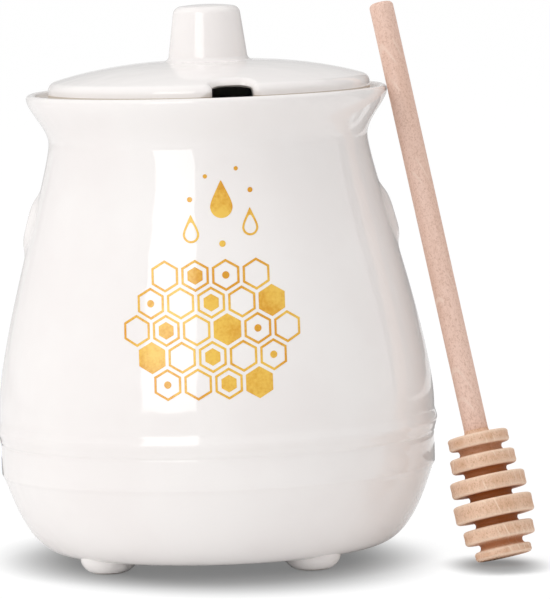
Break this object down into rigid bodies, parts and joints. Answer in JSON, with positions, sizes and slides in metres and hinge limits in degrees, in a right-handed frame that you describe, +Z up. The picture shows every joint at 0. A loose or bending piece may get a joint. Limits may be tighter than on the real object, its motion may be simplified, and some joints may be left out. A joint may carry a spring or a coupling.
{
  "type": "honey pot with dipper",
  "caption": "Round-bellied porcelain jar on bun feet, with a loose domed lid notched for a dipper, and a ringed wooden honey dipper leaning on its rim.",
  "frame": {"origin": "centre of the whole set's footprint, on the table; the pot's own axis stands 10.7 mm towards -X of it", "axes": "+Z up from the table; -Y towards the decorated front; +X towards the side where the dipper leans"},
  "size_m": [0.1264, 0.105, 0.1322],
  "materials": {
    "porcelain": "gloss",
    "gold_print": "gloss",
    "beech_handle": "matte",
    "beech_head": "matte"
  },
  "bodies": {
    "pot": {"pot_shell": "porcelain", "foot_front_right": "porcelain", "foot_back_right": "porcelain", "foot_back_left": "porcelain", "foot_front_left": "porcelain", "lug_right": "porcelain", "lug_left": "porcelain"},
    "lid": {"lid_dome": "porcelain", "lid_locating_ring": "porcelain", "lid_knob": "porcelain"},
    "dipper": {"dipper_handle": "beech_handle", "dipper_head": "beech_head"}
  },
  "joints": [
    {"name": "lid_lift", "type": "slide", "parent": "pot", "child": "lid", "axis": [0, 0, 1], "range_m": [0, 0.06]},
    {"name": "dipper_lift", "type": "slide", "parent": "pot", "child": "dipper", "axis": [0, 0, 1], "range_m": [0, 0.12]}
  ]
}
